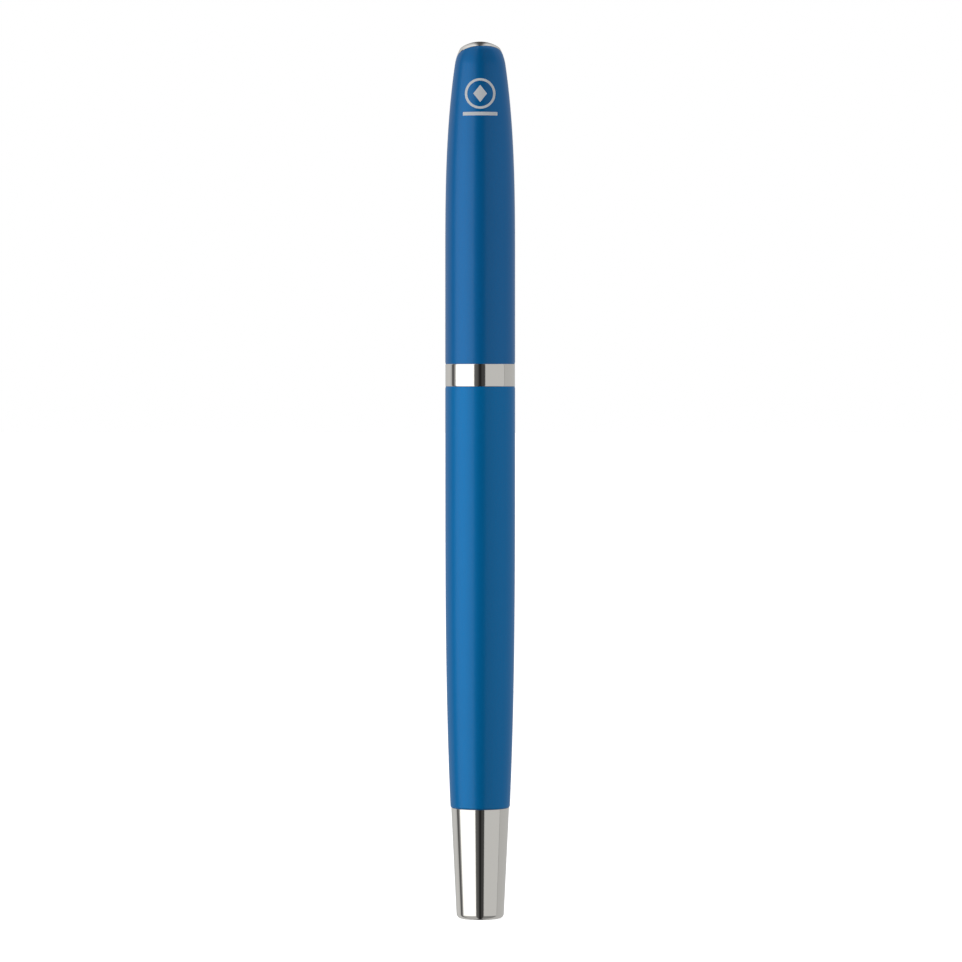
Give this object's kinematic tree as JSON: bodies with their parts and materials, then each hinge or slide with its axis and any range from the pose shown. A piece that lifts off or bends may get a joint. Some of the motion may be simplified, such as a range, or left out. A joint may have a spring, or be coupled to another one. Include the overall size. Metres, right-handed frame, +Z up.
{
  "type": "rollerball pen",
  "caption": "Capped rollerball pen with a tapered metal barrel, screw-in writing section and refill, domed push-on cap and spring clip.",
  "frame": {"origin": "centre of the flat end of the tail, where the pen stands", "axes": "+Z up the pen's axis to the top of the cap, -Y to the front of the cap, the clip at the back on +Y turned 10 degrees towards -X"},
  "size_m": [0.011, 0.013, 0.138],
  "materials": {
    "barrel_anodised": "satin blue anodised",
    "cap_anodised": "satin blue anodised",
    "bright_metal": "polished",
    "spring_steel": "drawn wire",
    "thread_brass": "turned",
    "section_plastic": "moulded",
    "inner_plastic": "moulded",
    "refill_plastic": "moulded",
    "refill_trim": "moulded",
    "ink_fibre": "ink-soaked fibre",
    "tip_steel": "turned",
    "screw_steel": "blackened"
  },
  "bodies": {
    "barrel": {"barrel_tube": "barrel_anodised", "thread_bush": "thread_brass", "tail_cone": "bright_metal", "refill_spring": "spring_steel"},
    "refill": {"refill_tube": "refill_plastic", "refill_plug": "refill_trim", "ink_reservoir": "ink_fibre", "feed_wick": "ink_fibre", "refill_nose": "refill_trim", "writing_tip": "tip_steel"},
    "tip_ball": {"tip_ball": "tip_steel"},
    "section": {"section_thread": "thread_brass", "section_ring": "bright_metal", "section_body": "section_plastic", "nose_cone": "bright_metal"},
    "cap": {"cap_tube": "cap_anodised", "cap_ring": "bright_metal", "inner_cap": "inner_plastic", "cap_top": "bright_metal", "cap_screw": "screw_steel"},
    "clip": {"clip": "bright_metal"}
  },
  "joints": [
    {"name": "refill_advance", "type": "slide", "parent": "barrel", "child": "refill", "axis": [0, 0, 1], "range_m": [0, 0.0045], "stiffness_N_per_m": 3, "springref_m": 0.0408, "deforming": ["refill_spring"]},
    {"name": "section_turn", "type": "hinge", "parent": "refill", "child": "section", "pos_m": [0, 0, 0.08384], "axis": [0, 0, 1], "range_deg": [0, 1620]},
    {"name": "cap_pull", "type": "slide", "parent": "section", "child": "cap", "axis": [0, 0, 1], "range_m": [0, 0.05]},
    {"name": "clip_lift", "type": "hinge", "parent": "cap", "child": "clip", "pos_m": [-0.00054, 0.00305, 0.1354], "axis": [0.9848, 0.1736, 0], "range_deg": [0, 5], "stiffness_Nm_per_rad": 3},
    {"name": "ball_roll", "type": "hinge", "parent": "refill", "child": "tip_ball", "pos_m": [0, 0, 0.12405], "axis": [1, 0, 0], "continuous": true}
  ],
  "couplings": [
    {"joint": "section_turn", "follows": "refill_advance", "rad_per_m": 6283.2}
  ]
}
